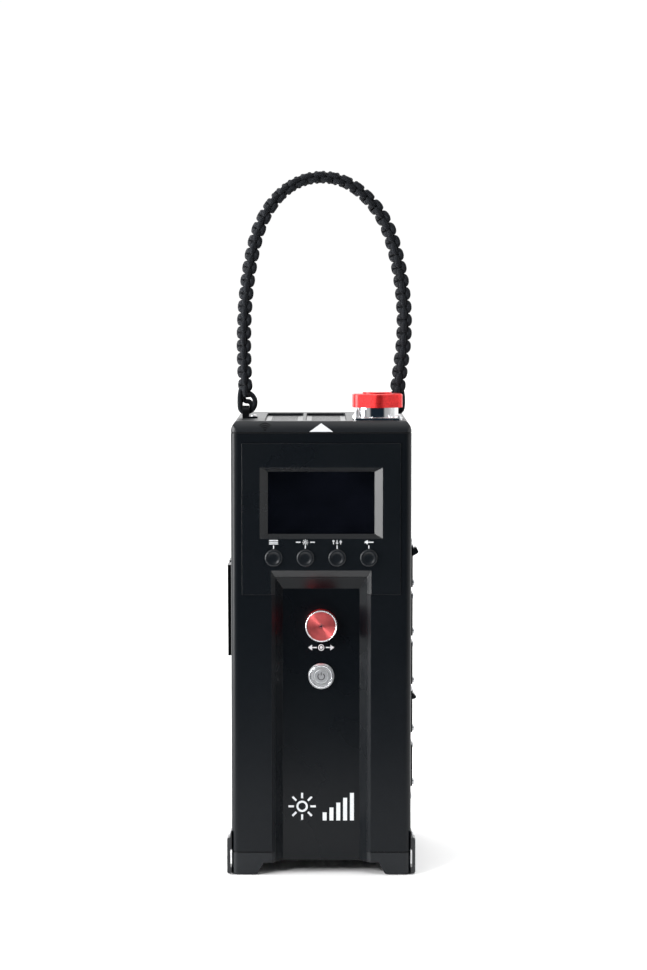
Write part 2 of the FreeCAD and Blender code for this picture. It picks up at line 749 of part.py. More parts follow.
def rear_screw_points():
    return [V(x, REAR_Y + 3, z) for x in (-53, 53) for z in (36, 170, 306)]


def rear_cover():
    """Proud louvred cover with a field of slots behind each fan."""
    plate = rounded(about(0, 57.5), (REAR_Y, REAR_Y + 3), (30, 312), 6, Y)
    slots = []
    for middle in FAN_Z:
        for i in range(13):
            z = middle + 5.4 * (i - 6)
            half = sqrt(36.0**2 - (z - middle) ** 2)
            slots.append(rounded(about(0, half), (REAR_Y - 1, REAR_Y + 4), about(z, 1.4), 1.2, Y))
    holes = [rod(1.45, p - Y * 5, 8) for p in rear_screw_points()]
    return plate.cut(slots + holes)


def fan_frame(z):
    half = FAN_SIZE / 2
    back = REAR_Y - WALL
    front = back - 25
    frame = rounded(about(0, half), (front, back), about(z, half), 4, Y)
    frame = frame.cut(rod(38.0, V(0, front - 1, z), 30))
    struts = [block(about(0, 38.5), (back - 3, back), about(z, 1.5)),
              block(about(0, 1.5), (back - 3, back), about(z, 38.5))]
    motor = rod(16.0, V(0, back - 3, z), 3)
    return join(frame, motor, *struts).cut(rod(1.55, V(0, back - 4, z), 3.6))


def fan_rotor(z):
    """Hub with a pin in the motor plate, and seven pitched blades."""
    back = REAR_Y - WALL
    hub = rod(15.5, V(0, back - 20, z), 16.4)
    pin = rod(1.5, V(0, back - 3.6, z), 2.6)
    blades = []
    for i in range(7):
        blade = block((14.0, 36.3), (-0.8, 0.8), (-9, 9))
        blade.rotate(V(0, 0, 0), X, 52)
        blade.rotate(V(0, 0, 0), Y, 360.0 / 7 * i)
        blade.translate(V(0, back - 12, z))
        blades.append(blade)
    return join(hub, pin, *blades)


# ---------------------------------------------------------------- inside


def chassis():
    """Bent plate across the case with stand-offs for the boards on both faces."""
    plate = block(about(0, 62), (CHASSIS_Y, CHASSIS_Y + 2), (25, 276))
    sides = [block(x, (CHASSIS_Y, CHASSIS_Y + 18), (25, 276)) for x in ((-62, -60), (60, 62))]
    posts = []
    for x in (-46, 30):
        for z in (50, 160, 262):
            posts.append(rod(3, V(x, CHASSIS_Y - STAND_OFF - 2.4, z), STAND_OFF + 2.4))
    for x in (-46, 46):
        for z in (64, 160, 262):
            posts.append(rod(3, V(x, CHASSIS_Y + 2, z), STAND_OFF))
    return join(plate, *sides, *posts)


def power_board():
    return rounded((-56, 38), (POWER_Y, POWER_Y + 1.6), (38, 272), 2, Y)


def transformer():
    core = block((-52, -4), (POWER_Y - 30, POWER_Y), (62, 98))
    winding = rounded((-45, -11), (POWER_Y - 36, POWER_Y - 2), (58, 102), 6, Z)
    return join(core, winding)


def capacitors():
    return [
        rod(12.5, V(x, POWER_Y - 38, z), 38) for x, z in ((-38, 130), (-10, 130), (-38, 160), (-10, 160))
    ]


def choke():
    return Part.makeTorus(11, 5, V(18, POWER_Y - 5, 84), Y)


def board_terminals():
    return block((34, 48), (CHASSIS_Y + 2.2, DRIVER_Y), (278, 287))


def driver_board():
    return rounded(about(0, 52), (DRIVER_Y, DRIVER_Y + 1.6), (56, 288), 2, Y)


def driver_heatsink():
    front = DRIVER_Y + 1.6
    base = block(about(0, 45), (front, front + 4), (66, 274))
    fins = [block(about(-43 + 8.6 * i, 1), (front + 4, front + 30), (66, 274)) for i in range(11)]
    return join(base, *fins)


def antenna_board():
    return rounded((-50, -31), (-70, -52), (324.6, 325.8), 1.5, Z)


def cable_loom():
    """Wires from the head connector over the chassis to the driver board's terminals."""
    end_y = CHASSIS_Y + 2.2 + 2.9
    points = [
        V(SOCKET_X, SOCKET_Y, TOP_Z - 27.0),
        V(SOCKET_X, SOCKET_Y, 292.0),
        V(SOCKET_X, end_y, 292.5),
        V(SOCKET_X, end_y, 287.0),
    ]
    path = rounded_path(points)[0]
    section = Part.Wire(Part.makeCircle(2.0, points[0], points[1].sub(points[0])))
    return sweep(section, path)


# ---------------------------------------------------------------- screws of the case


def top_screws():
    """Screws of the connector flange and of the two handle anchors."""
    flange = screws(flange_points(), Z, 2.4, 1.5, 1.2, 4)
    return flange + screws(anchor_points(), Z, 2.1, 1.0, 1.2, 3.5)


def case_screws():
    """Screws of the rear cover, and of the bottom cap from below."""
    rear = screws(rear_screw_points(), Y, 2.4, 1.4, 1.4, 7)
    return rear + screws(base_points(), V(0, 0, -1), 3.0, 2.0, 1.6, 8)


# ---------------------------------------------------------------- write every sub-part

save("body_shell", body_shell())
save("top_cap", top_cap())
save("top_vents", *top_vents())
save("bottom_cap", bottom_cap())
save("top_seal", seal(CAP_SEAM))
save("bottom_seal", seal(BASE_SEAM))
save("rubber_feet", *feet())

save("display_panel", display_panel())
save("display_window", display_window())
save("display_module", display_module())
for name, x in zip(("menu_key", "mode_key", "preset_key", "back_key"), KEY_XS):
    save(name, key(x))
save("key_board", join(key_board(), *key_switches()))
save("control_board", control_board())

save("channel_trim", channel_trim())
save("encoder_body", encoder_body())
save("encoder_shaft", encoder_shaft())
save("select_knob", select_knob())
save("knob_face", knob_face())
save("power_switch", power_switch())
save("power_nut", power_nut())
save("power_button", power_button())

save("head_socket", head_socket())
save("socket_insert", socket_insert())
save("dust_cap_plug", dust_cap_plug())
save("dust_cap", dust_cap())
save("tether_post", tether_post())

save("handle_anchor_right", handle_anchor())
save("handle_anchor_left", mirror_x(handle_anchor()))
save("top_screws", *top_screws())
save("handle_rope", handle_rope())
save("handle_loop_left", handle_loop(-HANDLE_X))
save("handle_loop_right", handle_loop(HANDLE_X))

save("wedge_plate", wedge_plate())

save("io_panel", io_panel())
save("upper_socket", round_socket(IO_SOCKETS[0], 9.6, UPPER_SLOT))
save("middle_sockets", round_socket(IO_SOCKETS[1], 9.6), round_socket(IO_SOCKETS[2], 9.6))
save("lower_socket", round_socket(IO_SOCKETS[3], 9.6, LOWER_SLOT))
save("mains_inlet", round_socket(IO_INLET, 10.8))
save("contact_pins", *contact_pins(), *socket_contacts())
save("upper_latch_tab", latch_tab(UPPER_TAB))
save("lower_latch_tab", latch_tab(LOWER_TAB))
save("io_screws", *screws(io_screw_points(), X, 2.2, 1.4, 1.4, 4))

save("strap_bridges", *strap_bridges())
save("side_screws", *bridge_screws(), *screws(wedge_points(), V(-1, 0, 0), 3.0, 2.2, 1.6, 3.9))

save("rear_cover", rear_cover())
save("case_screws", *case_screws())
save("fan_frames", *[fan_frame(z) for z in FAN_Z])
save("fan_rotor_lower", fan_rotor(FAN_Z[0]))
save("fan_rotor_upper", fan_rotor(FAN_Z[1]))

save("chassis", chassis())
save("power_board", power_board())
save("transformer", transformer())
save("power_parts", *capacitors(), choke())
save("driver_board", join(driver_board(), board_terminals()))
save("driver_heatsink", driver_heatsink())
save("antenna_board", antenna_board())
save("cable_loom", cable_loom())
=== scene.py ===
import json
from math import cos, pi, radians, sin, sqrt

import bpy
from mathutils import Euler, Matrix, Vector

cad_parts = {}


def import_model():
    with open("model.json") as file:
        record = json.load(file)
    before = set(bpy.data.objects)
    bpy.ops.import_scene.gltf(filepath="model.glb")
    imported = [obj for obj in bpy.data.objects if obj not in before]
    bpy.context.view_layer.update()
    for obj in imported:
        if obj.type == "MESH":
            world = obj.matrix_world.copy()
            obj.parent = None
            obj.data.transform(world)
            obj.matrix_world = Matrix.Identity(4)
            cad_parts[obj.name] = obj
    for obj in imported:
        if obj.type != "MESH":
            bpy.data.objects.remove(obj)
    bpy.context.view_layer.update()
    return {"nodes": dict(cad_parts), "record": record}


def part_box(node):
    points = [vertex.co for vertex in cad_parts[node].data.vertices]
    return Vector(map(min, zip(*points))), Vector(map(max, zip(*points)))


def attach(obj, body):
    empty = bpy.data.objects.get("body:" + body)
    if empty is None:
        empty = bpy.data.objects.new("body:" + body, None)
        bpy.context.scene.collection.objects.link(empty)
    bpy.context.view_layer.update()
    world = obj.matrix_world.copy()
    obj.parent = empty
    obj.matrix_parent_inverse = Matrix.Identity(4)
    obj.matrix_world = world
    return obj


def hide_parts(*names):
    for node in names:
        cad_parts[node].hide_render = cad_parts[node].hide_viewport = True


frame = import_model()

# Control box of a studio LED light, in metres. The frame is the CAD model's own:
# +Z up, the display faces -Y, the origin on the floor under the middle of the box.

MM = 0.001
scene = bpy.context.scene
TO_FRONT = (0, -1, 0)
FRONT_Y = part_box("body_shell")[0].y
PANEL_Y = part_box("display_panel")[0].y
TOP_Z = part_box("top_cap")[1].z
SWITCH_PROUD = 1.8 * MM
CHANNEL_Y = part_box("power_switch")[0].y + SWITCH_PROUD  # floor of the channel in the front
KEYS = ("menu_key", "mode_key", "preset_key", "back_key")

# Carry handle: a flat woven band. The route repeats the one in the CAD source, as (x, z).
HANDLE_Y = -0.022
HANDLE_ROUTE = [
    (-0.0560, 0.3490),
    (-0.0570, 0.3635),
    (-0.0576, 0.3925),
    (-0.0562, 0.4215),
    (-0.0522, 0.4500),
    (-0.0450, 0.4775),
    (-0.0305, 0.4985),
    (-0.0112, 0.5096),
    (0.0118, 0.5098),
    (0.0315, 0.4985),
    (0.0482, 0.4775),
    (0.0565, 0.4495),
    (0.0612, 0.4210),
    (0.0618, 0.3920),
    (0.0580, 0.3635),
    (0.0560, 0.3490),
]
BAND_WIDE = 0.016
BAND_THICK = 0.0094
CORD_R = 1.95 * MM
CORE_R = 1.6 * MM
CORE_PLACES = (-4.2 * MM, -1.5 * MM, 1.5 * MM, 4.2 * MM)  # across the band
HALF_KNOTS = 78
LEG_TWIST = radians(16)  # the legs show a little of their left faces
STATIONS = 1200  # places along the route at which the band's directions are kept


# ---------------------------------------------------------------- materials

NOISE_LOW, NOISE_HIGH = 0.35, 0.65  # the part of a noise's range that it often reaches
SPECKLE = 1.2 * MM
WEAR = 60 * MM
EDGE_SAMPLES = 4


class Paint:
    """A Principled material, with short calls that add nodes to it."""

    def __init__(self, name, colour, roughness, metallic=0.0, **sockets):
        self.material = bpy.data.materials.new(name)
        self.material.use_nodes = True
        self.tree = self.material.node_tree
        self.shader = self.tree.nodes["Principled BSDF"]
        self.set("Base Color", (*colour, 1.0))
        self.set("Roughness", roughness)
        self.set("Metallic", metallic)
        for socket, value in sockets.items():
            self.set(socket.replace("_", " ").title().replace("Ior", "IOR"), value)
        coordinates = self.add("ShaderNodeTexCoord")
        self.place = coordinates.outputs["Object"]
        self.uv = coordinates.outputs["UV"]

    def feed(self, socket, value):
        """Link an output into a socket, or set the socket to a constant."""
        if isinstance(value, bpy.types.NodeSocket):
            self.tree.links.new(value, socket)
        else:
            socket.default_value = value

    def set(self, socket, value):
        self.feed(self.shader.inputs[socket], value)

    def add(self, kind, inputs=(), **settings):
        """A new node, with its inputs fed and its settings made."""
        node = self.tree.nodes.new(kind)
        for key, value in settings.items():
            setattr(node, key, value)
        for key, value in dict(inputs).items():
            self.feed(node.inputs[key], value)
        return node

    def noise(self, size, detail=2.0, stretch=(1, 1, 1)):
        """Noise with features of about that size in metres, drawn out where stretch is under 1."""
        scale = Vector(stretch) / size
        mapped = self.add("ShaderNodeMapping", {"Vector": self.place, "Scale": scale})
        inputs = {"Vector": mapped.outputs["Vector"], "Scale": 1.0, "Detail": detail}
        return self.add("ShaderNodeTexNoise", inputs).outputs["Fac"]

    def ranged(self, value, low, high):
        """A noise stretched to go from low to high."""
        inputs = {"Value": value, "From Min": NOISE_LOW, "From Max": NOISE_HIGH}
        inputs.update({"To Min": low, "To Max": high})
        return self.add("ShaderNodeMapRange", inputs).outputs["Result"]

    def math(self, operation, first, second=0.0):
        return self.add("ShaderNodeMath", {0: first, 1: second}, operation=operation).outputs[0]

    def tint(self, factor, dark, light, start=NOISE_LOW, end=NOISE_HIGH):
        """Base colour that goes from dark to light with a factor."""
        ramp = self.add("ShaderNodeValToRGB", {"Fac": factor})
        for stop, place, colour in zip(ramp.color_ramp.elements, (start, end), (dark, light)):
            stop.position = place
            stop.color = (*colour, 1.0)
        self.set("Base Color", ramp.outputs["Color"])

    def bump(self, height, distance, strength=1.0, under=None):
        """Relief of that distance in metres, over the normal given as under."""
        inputs = {"Height": height, "Distance": distance, "Strength": strength}
        if under:
            inputs["Normal"] = under
        self.set("Normal", self.add("ShaderNodeBump", inputs).outputs["Normal"])

    def soft_edges(self, radius):
        """A normal that rounds sharp edges."""
        edges = self.add("ShaderNodeBevel", {"Radius": radius}, samples=EDGE_SAMPLES)
        return edges.outputs["Normal"]


def shade(colour, factor):
    return tuple(c * factor for c in colour)


def coated(name, colour, roughness, grain, depth, edge=0.4 * MM, **sockets):
    """Paint or moulded plastic: fine grain, slow changes of colour and gloss, soft edges."""
    paint = Paint(name, colour, roughness, **{"ior": 1.29, **sockets})
    paint.tint(paint.noise(SPECKLE, 3), shade(colour, 0.90), shade(colour, 1.10))
    wear = paint.noise(WEAR, 5)
    paint.set("Roughness", paint.ranged(wear, roughness - 0.015, roughness + 0.025))
    paint.bump(paint.noise(grain, 3), depth, 1.0, paint.soft_edges(edge))
    return paint.material


def metal(name, colour, roughness, stretch=(1, 1, 1), depth=0.004 * MM, edge=0.15 * MM,
          metallic=1.0):
    """Bare or anodised metal with fine scratches drawn out along one axis."""
    paint = Paint(name, colour, roughness, metallic)
    scratch = paint.noise(0.25 * MM, 4, stretch)
    paint.tint(paint.noise(6 * MM, 3), shade(colour, 0.9), shade(colour, 1.04))
    paint.set("Roughness", paint.ranged(scratch, roughness * 0.75, roughness * 1.3))
    paint.bump(scratch, depth, 0.6, paint.soft_edges(edge))
    return paint.material


def spun(name, colour, roughness):
    """A turned face: its fine rings run round the Y axis, so light gathers in fans."""
    paint = Paint(name, colour, roughness, 1.0, anisotropic=0.9, anisotropic_rotation=0.25)
    tangent = paint.add("ShaderNodeTangent", direction_type="RADIAL", axis="Y")
    paint.set("Tangent", tangent.outputs["Tangent"])
    paint.tint(paint.noise(3 * MM, 2), shade(colour, 0.92), colour)
    return paint.material


PLAITS_ROUND = 4
PLAIT_PITCH = 1.9 * MM


def sheath(name, colour):
    """Braided nylon sheath. The UV map holds turns round the cord and metres along it."""
    sheen = {"sheen_weight": 0.04, "sheen_roughness": 0.4}
    paint = Paint(name, colour, 0.72, specular_ior_level=0.12, **sheen)
    split = paint.add("ShaderNodeSeparateXYZ", {"Vector": paint.uv})
    turn = paint.math("MULTIPLY", split.outputs["X"], 2 * pi * PLAITS_ROUND)
    along = paint.math("MULTIPLY", split.outputs["Y"], 2 * pi / PLAIT_PITCH)
    right = paint.math("SINE", paint.math("ADD", turn, along))
    left = paint.math("SINE", paint.math("SUBTRACT", turn, along))
    plait = paint.math("MULTIPLY", right, left)
    # Painted light and shade: the plaits are coloured lighter and darker in a checker, as light
    # falls on plaits that cross; random wear lies on top.
    plait_shade_and_wear = paint.math("ADD", plait, paint.noise(14 * MM, 3))
    paint.tint(plait_shade_and_wear, shade(colour, 0.55), shade(colour, 1.5), 0.1, 1.2)
    fibre = paint.math("MULTIPLY", paint.noise(0.2 * MM, 3), 0.35)
    paint.bump(paint.math("ADD", paint.math("ABSOLUTE", plait), fibre), 0.22 * MM, 0.9)
    return paint.material


TRACES_PER_METRE = 420.0


def circuit(name):
    """Green solder mask with copper traces under it."""
    paint = Paint(name, (0.01, 0.09, 0.04), 0.35)
    inputs = {"Vector": paint.place, "Scale": TRACES_PER_METRE}
    cells = paint.add("ShaderNodeTexVoronoi", inputs, distance="MANHATTAN").outputs["Distance"]
    paint.tint(cells, (0.01, 0.07, 0.03), (0.02, 0.16, 0.07), 0.2, 0.6)
    paint.bump(cells, 0.05 * MM, 0.5)
    return paint.material


def display_glass(name):
    """Switched-off display: black, with a faint blue where the cell lies under the cover."""
    paint = Paint(name, (0.002, 0.0025, 0.004), 0.06, specular_ior_level=0.35)
    paint.tint(paint.noise(30 * MM, 2), (0.0015, 0.0018, 0.003), (0.003, 0.0035, 0.006))
    paint.set("Roughness", paint.ranged(paint.noise(12 * MM, 5), 0.05, 0.10))
    return paint.material


def ink(name, colour):
    """Screen-printed ink, slightly uneven."""
    paint = Paint(name, colour, 0.6, specular_ior_level=0.15)
    paint.tint(paint.noise(0.8 * MM, 3), shade(colour, 0.88), colour)
    paint.bump(paint.noise(0.3 * MM, 2), 0.01 * MM, 0.5)
    return paint.material


BLACK = (0.0030, 0.0044, 0.0062)  # a little blue
RED = (0.74, 0.028, 0.029)
STEEL = (0.66, 0.67, 0.69)

PAINTS = {
    "case_paint": coated("case_paint", BLACK, 0.33, 0.5 * MM, 0.012 * MM, 0.5 * MM),
    "cap_plastic": coated(
        "cap_plastic", shade(BLACK, 1.25), 0.40, 0.45 * MM, 0.07 * MM, 0.6 * MM, ior=1.40
    ),
    "panel_plastic": coated("panel_plastic", BLACK, 0.28, 0.4 * MM, 0.006 * MM, ior=1.5),
    "trim_gloss": coated("trim_gloss", shade(BLACK, 0.9), 0.27, 0.4 * MM, 0.004 * MM),
    "vent_plastic": coated(
        "vent_plastic", shade(BLACK, 1.1), 0.32, 0.6 * MM, 0.01 * MM, ior=1.7
    ),
    "rubber": coated("rubber", (0.008, 0.008, 0.009), 0.75, 0.5 * MM, 0.02 * MM),
    "window": display_glass("window"),
    "inner_plastic": coated("inner_plastic", (0.012, 0.012, 0.013), 0.5, 0.6 * MM, 0.01 * MM),
    "key_plastic": coated(
        "key_plastic", shade(BLACK, 1.3), 0.34, 0.35 * MM, 0.004 * MM, 0.1 * MM, ior=1.42
    ),
    "socket_metal": metal("socket_metal", (0.018, 0.019, 0.021), 0.36),
    "steel": metal("steel", STEEL, 0.36, depth=0.001 * MM, metallic=0.85),
    "chrome": metal("chrome", (0.87, 0.88, 0.90), 0.06, (1, 1, 0.2), 0.001 * MM, 0.7 * MM),
    "red_anodised": metal("red_anodised", RED, 0.30, (1, 1, 0.15), metallic=0.6),
    "rubber_plug": coated("rubber_plug", (0.01, 0.01, 0.01), 0.7, 0.5 * MM, 0.02 * MM),
    "cord_fabric": sheath("cord_fabric", (0.010, 0.0115, 0.0145)),
    "circuit_board": circuit("circuit_board"),
    "ferrite": coated("ferrite", (0.03, 0.03, 0.035), 0.7, 1.5 * MM, 0.05 * MM),
    "bare_aluminium": metal("bare_aluminium", (0.72, 0.73, 0.74), 0.38, (1, 1, 0.1)),
    "contact_brass": metal("contact_brass", (0.80, 0.60, 0.25), 0.22),
    "wire_rubber": coated("wire_rubber", (0.012, 0.012, 0.013), 0.55, 0.8 * MM, 0.02 * MM),
}
WHITE_INK = ink("white_ink", (0.80, 0.82, 0.84))
DARK_INK = ink("dark_ink", (0.05, 0.05, 0.055))
BLACK_INK = ink("black_ink", (0.002, 0.002, 0.0025))
RED_SPUN = spun("red_spun", (1.0, 0.19, 0.19), 0.38)
RIM_METAL = metal("rim_metal", (0.90, 0.91, 0.93), 0.16)
RING_LENS = coated("ring_lens", (0.34, 0.35, 0.36), 0.3, 0.5 * MM, 0.004 * MM, 0.1 * MM)

for entry in frame["record"]["subparts"]:
    mesh = frame["nodes"][entry["node"]].data
    mesh.materials.clear()
    mesh.materials.append(PAINTS[entry["material_slot"]])


# ---------------------------------------------------------------- mesh helpers


def placed(name, data, location=(0, 0, 0)):
    """A new object in the scene."""
    made = bpy.data.objects.new(name, data)
    made.location = location
    scene.collection.objects.link(made)
    return made


def piece(name, vertices, faces, material, body):
    """A smooth mesh that rides on a CAD body."""
    mesh = bpy.data.meshes.new(name)
    mesh.from_pydata([tuple(v) for v in vertices], [], faces)
    mesh.update()
    mesh.shade_smooth()
    mesh.materials.append(material)
    made = placed(name, mesh)
    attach(made, body)
    return made


def tube_rings(line, radius, sides):
    """Rings of points round a line, without twist, and the length at each."""
    rings, lengths = [], []
    normal, length = None, 0.0
    for i, at in enumerate(line):
        before, after = line[max(i - 1, 0)], line[min(i + 1, len(line) - 1)]
        tangent = (after - before).normalized()
        if normal is None:
            normal = tangent.orthogonal()
        normal = (normal - tangent * normal.dot(tangent)).normalized()
        across = tangent.cross(normal)
        turns = [2 * pi * k / sides for k in range(sides)]
        rings.append([at + (normal * cos(a) + across * sin(a)) * radius for a in turns])
        if i:
            length += (at - line[i - 1]).length
        lengths.append(length)
    return rings, lengths


def cord_mesh(name, strands, body, sides=12):
    """One mesh of several cord strands, each a line and a radius, with closed ends and UVs."""
    vertices, faces, uvs = [], [], []
    for line, radius in strands:
        rings, lengths = tube_rings(line, radius, sides)
        base = len(vertices)
        for ring in rings:
            vertices += ring
        for i in range(len(rings) - 1):
            for k in range(sides):
                after = (k + 1) % sides
                low, high = base + i * sides, base + (i + 1) * sides
                faces.append((low + k, low + after, high + after, high + k))
                left, right = k / sides, (k + 1) / sides
                start, end = lengths[i], lengths[i + 1]
                uvs += [(left, start), (right, start), (right, end), (left, end)]
        last = base + (len(rings) - 1) * sides
        faces.append(tuple(base + k for k in reversed(range(sides))))
        faces.append(tuple(last + k for k in range(sides)))
        uvs += [(k / sides, 0.0) for k in range(sides)]
        uvs += [(k / sides, lengths[-1]) for k in range(sides)]
    made = piece(name, vertices, faces, PAINTS["cord_fabric"], body)
    layer = made.data.uv_layers.new(name="cord")
    for corner, uv in zip(layer.data, uvs):
        corner.uv = uv
    return made


def smooth_line(points, steps):
    """A Catmull-Rom line through points, with so many steps between two of them."""
    line = []
    last = len(points) - 1
    for i in range(last):
        p0, p1, p2, p3 = points[max(i - 1, 0)], points[i], points[i + 1], points[min(i + 2, last)]
        for k in range(steps):
            t = k / steps
            even = p1 * 2 + (p0 * 2 - p1 * 5 + p2 * 4 - p3) * t**2
            odd = (p2 - p0) * t + (p1 * 3 - p0 - p2 * 3 + p3) * t**3
            line.append((even + odd) / 2)
    line.append(points[-1])
    return line


def ring(name, profile, centre, material, body, slot, sides=96):
    """A closed profile of (radius, height) turned round the axis that faces the front."""
    vertices, faces = [], []
    for radius, height in profile:
        for k in range(sides):
            a = 2 * pi * k / sides
            vertices.append(centre + Vector((radius * cos(a), -height, radius * sin(a))))
    count = len(profile)
    for i in range(count):
        for k in range(sides):
            after = (k + 1) % sides
            low, high = i * sides, (i + 1) % count * sides
            faces.append((low + k, high + k, high + after, low + after))
    return piece(name, vertices, faces, material, body)


def turned(name, profile, centre, axis, material, body, sides=96, wave=None):
    """A profile of (radius, height) turned round an axis; wave scales the radius by the angle."""
    up = Vector(axis)
    one = up.orthogonal().normalized()
    two = up.cross(one)
    vertices, faces = [], []
    for radius, height in profile:
        for k in range(sides):
            a = 2 * pi * k / sides
            r = radius * wave(a, radius, height) if wave else radius
            vertices.append(centre + up * height + (one * cos(a) + two * sin(a)) * r)
    for i in range(len(profile) - 1):
        for k in range(sides):
            after = (k + 1) % sides
            low, high = i * sides, (i + 1) * sides
            faces.append((low + k, low + after, high + after, high + k))
    faces.append(tuple(reversed(range(sides))))
    last = (len(profile) - 1) * sides
    faces.append(tuple(last + k for k in range(sides)))
    return piece(name, vertices, faces, material, body)


def ribbons(name, strips, surface, material, body, thick=0.06 * MM):
    """Printed marks: each strip lies between two lines of (x, z), laid on y = surface(z)."""
    vertices, faces = [], []
    for left, right in strips:
        base = len(vertices)
        for (x0, z0), (x1, z1) in zip(left, right):
            vertices += [(x0, surface(z0), z0), (x1, surface(z1), z1)]
        for i in range(len(left) - 1):
            a = base + 2 * i
            quad = (a, a + 1, a + 3, a + 2)
            (x0, _, z0), (x1, _, z1), (x3, _, z3) = (vertices[j] for j in quad[:3])
            faces_front = (x1 - x0) * (z3 - z1) > (z1 - z0) * (x3 - x1)
            faces.append(quad if faces_front else quad[::-1])
    made = piece(name, vertices, faces, material, body)
    made.data.shade_flat()
    solid = made.modifiers.new("thickness", "SOLIDIFY")
    solid.thickness = thick
    solid.offset = 1.0
    return made


# ---------------------------------------------------------------- carry handle


def route_line(name, points, detail=24):
    """Points along a smooth NURBS line with those points as its control points."""
    curve = bpy.data.curves.new(name, "CURVE")
    curve.dimensions = "3D"
    curve.resolution_u = detail
    spline = curve.splines.new("NURBS")
    spline.points.add(len(points) - 1)
    for control, at in zip(spline.points, points):
        control.co = (*at, 1.0)
    spline.order_u = 3
    spline.use_endpoint_u = True
    holder = placed(name, curve)
    mesh = bpy.data.meshes.new_from_object(holder)
    line = [v.co.copy() for v in mesh.vertices]
    bpy.data.objects.remove(holder)
    return line


def lengths_along(line):
    """The length from the start of a line to each of its points."""
    total = [0.0]
    for a, b in zip(line, line[1:]):
        total.append(total[-1] + (b - a).length)
    return total


handle_points = [Vector((x, HANDLE_Y, z)) for x, z in HANDLE_ROUTE]
handle_line = route_line("handle_route", handle_points)
handle_lengths = lengths_along(handle_line)
HANDLE_LENGTH = handle_lengths[-1]
KNOT = HANDLE_LENGTH / HALF_KNOTS


def band_frame(s):
    """Centre, width direction and outward direction of the band, at a length along the route."""
    s = min(max(s, 0.0), HANDLE_LENGTH)
    i = next((k for k, at in enumerate(handle_lengths[1:]) if at >= s), len(handle_line) - 2)
    share = (s - handle_lengths[i]) / (handle_lengths[i + 1] - handle_lengths[i])
    centre = handle_line[i].lerp(handle_line[i + 1], share)
    ahead = handle_line[min(i + 2, len(handle_line) - 1)] - handle_line[i + 1]
    behind = handle_line[i + 1] - handle_line[i]
    tangent = behind.lerp(ahead if ahead.length else behind, share).normalized()
    upright = abs(tangent.z)
    turn = LEG_TWIST * upright**2 * (1 if tangent.z > 0 else -1)
    wide = Matrix.Rotation(turn, 3, tangent) @ Vector((0, 1, 0))
    return centre, wide, tangent.cross(wide) * -1


BAND_STATIONS = [band_frame(HANDLE_LENGTH * i / STATIONS) for i in range(STATIONS + 1)]


def band_point(s, u, v):
    """A point at length s, u across the band and v out of its outer face."""
    place = min(max(s / HANDLE_LENGTH, 0.0), 1.0) * STATIONS
    i = min(int(place), STATIONS - 1)
    low, high = BAND_STATIONS[i], BAND_STATIONS[i + 1]
    centre, wide, out = (a.lerp(b, place - i) for a, b in zip(low, high))
    return centre + wide * u + out * v


# Way of one working cord from the middle of one crossing to just before the next, round one edge
# of the band: length in half knots, then across and out in shares of the band's half sizes. Both
# ends of a turn dip inside the turns of the other cord.
EDGE_TURN = [
    (0.00, 0.00, 1.00),
    (0.00, 0.40, 0.95),
    (-0.06, 0.64, 0.40),
    (-0.12, 0.86, -0.34),
    (0.12, 1.00, -0.68),
    (0.50, 1.05, -0.74),
    (0.88, 1.00, -0.68),
    (1.12, 0.86, -0.34),
    (1.06, 0.64, 0.40),
    (1.00, 0.40, 0.95),
]


def working_cord(face):
    """The cord that crosses on one face, 1 for the outer and -1 for the inner one."""
    half_wide = BAND_WIDE / 2 - CORD_R
    half_thick = BAND_THICK / 2 - CORD_R
    points = []
    for knot in range(HALF_KNOTS):
        side = face * (1 if knot % 2 else -1)
        for along, across, out in EDGE_TURN:
            s = (knot + along) * KNOT
            points.append(band_point(s, side * across * half_wide, face * out * half_thick))
    return smooth_line(points, 3)


def core_cord(u):
    """A core cord that runs along inside the weave, at u across the band."""
    count = 2 * HALF_KNOTS
    return [band_point(HANDLE_LENGTH * i / count, u, 0.0) for i in range(count + 1)]


def handle():
    """The woven band: two working cords round four core cords."""
    strands = [(working_cord(1), CORD_R), (working_cord(-1), CORD_R)]
    strands += [(core_cord(u), CORE_R) for u in CORE_PLACES]
    weave = cord_mesh("handle_weave", strands, "handle", 12)
    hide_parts("handle_rope")
    return weave


# Two strands loop through each eye. Their points are in mm: inward from the middle of the
# anchor plate, and height above the floor.
EYE_Z = 336.3
EYE_STRAND_R = 1.8 * MM
EYE_OFFSET, TOP_OFFSET = 1.35, 2.4  # mm to front or rear of the band's middle
OFFSET_GROWTH = 1.6  # the strands are at their full offset before the top
FRONT_STRAND = [
    (-3.6, 353.0),
    (-4.3, 349.0),
    (-4.5, 344.6),
    (-4.4, 340.6),
    (-3.8, 338.0),
    (-2.1, 336.5),
    (0.0, 336.3),
    (2.4, 336.6),
    (5.0, 338.2),
    (6.7, 341.4),
    (6.8, 345.0),
    (5.4, 348.0),
    (2.6, 350.4),
    (0.0, 352.0),
]
REAR_STRAND = [
    (-0.6, 352.0),
    (-2.2, 349.0),
    (-3.6, 345.0),
    (-4.2, 340.8),
    (-3.6, 337.8),
    (-2.0, 336.5),
    (0.0, 336.3),
    (2.0, 336.5),
    (3.7, 337.8),
    (4.4, 340.4),
    (3.7, 342.8),
    (1.8, 344.0),
    (-0.4, 344.3),
    (-1.7, 346.4),
    (-1.0, 352.0),
]


def eye_strand(name, points, middle_x, side):
    """A cord strand round an anchor plate, on its front (-1) or rear (1) side."""
    inward = -1 if middle_x > 0 else 1
    top = max(z for _, z in points)
    route = []
    for a, z in points:
        rise = min((z - EYE_Z) / (top - EYE_Z) * OFFSET_GROWTH, 1.0)
        y = HANDLE_Y + side * (EYE_OFFSET + (TOP_OFFSET - EYE_OFFSET) * rise) * MM
        route.append(Vector((middle_x + inward * a * MM, y, z * MM)))
    return cord_mesh(name, [(smooth_line(route, 5), EYE_STRAND_R)], "handle", 14)


